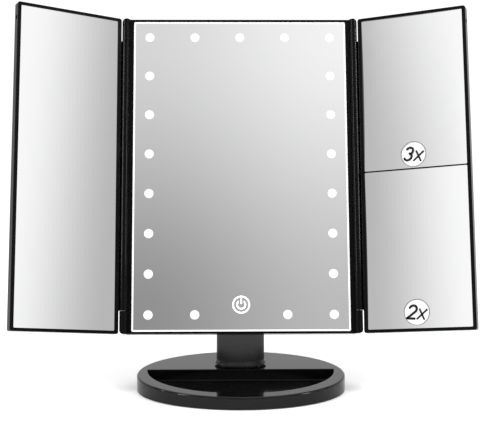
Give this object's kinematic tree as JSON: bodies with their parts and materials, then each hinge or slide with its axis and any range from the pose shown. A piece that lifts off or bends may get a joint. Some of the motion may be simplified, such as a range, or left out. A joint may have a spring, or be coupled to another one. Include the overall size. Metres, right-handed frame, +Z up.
{
  "type": "lighted vanity mirror",
  "caption": "Table-top tri-fold vanity mirror: centre panel ringed with round light windows and a touch key, a plain wing, a wing of magnifying mirrors, and a post on an oval tray base.",
  "frame": {"origin": "middle of the oval base, on the plane its rubber feet stand on", "axes": "+Z up, +X to the viewer's right when facing the mirrors, the mirrors face -Y"},
  "size_m": [0.3352, 0.1222, 0.2888],
  "materials": {
    "black_gloss": "polished black ABS",
    "black_satin": "satin black ABS",
    "base_black": "satin-gloss black ABS with a light dusting",
    "mirror_silver": "silvered glass",
    "diffuser_white": "white polycarbonate",
    "window_frost": "frosted window",
    "label_film": "printed film",
    "board_green": "solder mask",
    "board_white": "white solder mask",
    "led_package": "phosphor in white package",
    "chip_black": "moulded epoxy",
    "plated_steel": "zinc plated",
    "nickel_shell": "nickel plated",
    "cell_jacket": "printed jacket",
    "foam_white": "foam tape",
    "wire_red": "insulated wire",
    "foot_rubber": "matt rubber",
    "ballast_steel": "mill finish"
  },
  "bodies": {
    "stand": {"base_shell": "base_black", "base_plate": "black_satin", "base_weight": "ballast_steel", "rubber_feet": "foot_rubber", "base_screws": "plated_steel", "post": "black_gloss", "post_screws": "plated_steel"},
    "head": {"centre_frame": "black_gloss", "mirror_carrier": "diffuser_white", "centre_mirror": "mirror_silver", "led_windows": "window_frost", "touch_icon": "window_frost", "led_boards": "board_white", "leds": "led_package", "touch_board": "board_green", "hinge_pins": "plated_steel", "rear_cover": "black_satin", "cover_screws": "plated_steel", "control_board": "board_green", "board_parts": "chip_black", "board_screws": "plated_steel", "usb_socket": "nickel_shell", "switch_case": "nickel_shell", "aaa_cells": "cell_jacket", "battery_contacts": "nickel_shell", "lead_wires": "wire_red", "tilt_bracket": "black_satin", "bracket_screws": "plated_steel", "tilt_bolt": "plated_steel", "tilt_nut": "plated_steel"},
    "left_wing": {"left_frame": "black_gloss", "left_back": "black_satin", "left_mirror": "mirror_silver", "left_tape": "foam_white"},
    "right_wing": {"right_frame": "black_gloss", "right_back": "black_satin", "mirror_3x": "mirror_silver", "mirror_2x": "mirror_silver", "sticker_3x": "label_film", "sticker_2x": "label_film"},
    "switch_knob": {"switch_knob": "black_satin"},
    "battery_door": {"battery_door": "black_satin"}
  },
  "joints": [
    {"name": "head_tilt", "type": "hinge", "parent": "stand", "child": "head", "pos_m": [0, 0.02341, 0.09751], "axis": [-1, 0, 0], "range_deg": [-15.8, 44.2]},
    {"name": "left_wing_hinge", "type": "hinge", "parent": "head", "child": "left_wing", "pos_m": [-0.0872, 0.01752, 0.16154], "axis": [0, 0.2723, 0.9622], "range_deg": [-29.4, 150.6]},
    {"name": "right_wing_hinge", "type": "hinge", "parent": "head", "child": "right_wing", "pos_m": [0.0872, 0.01752, 0.16154], "axis": [0, -0.2723, -0.9622], "range_deg": [-23.6, 156.4]},
    {"name": "power_switch", "type": "slide", "parent": "head", "child": "switch_knob", "axis": [1, 0, 0], "range_m": [0, 0.002]},
    {"name": "battery_door_off", "type": "slide", "parent": "head", "child": "battery_door", "axis": [0, 0.9622, -0.2723], "range_m": [0, 0.03]}
  ]
}
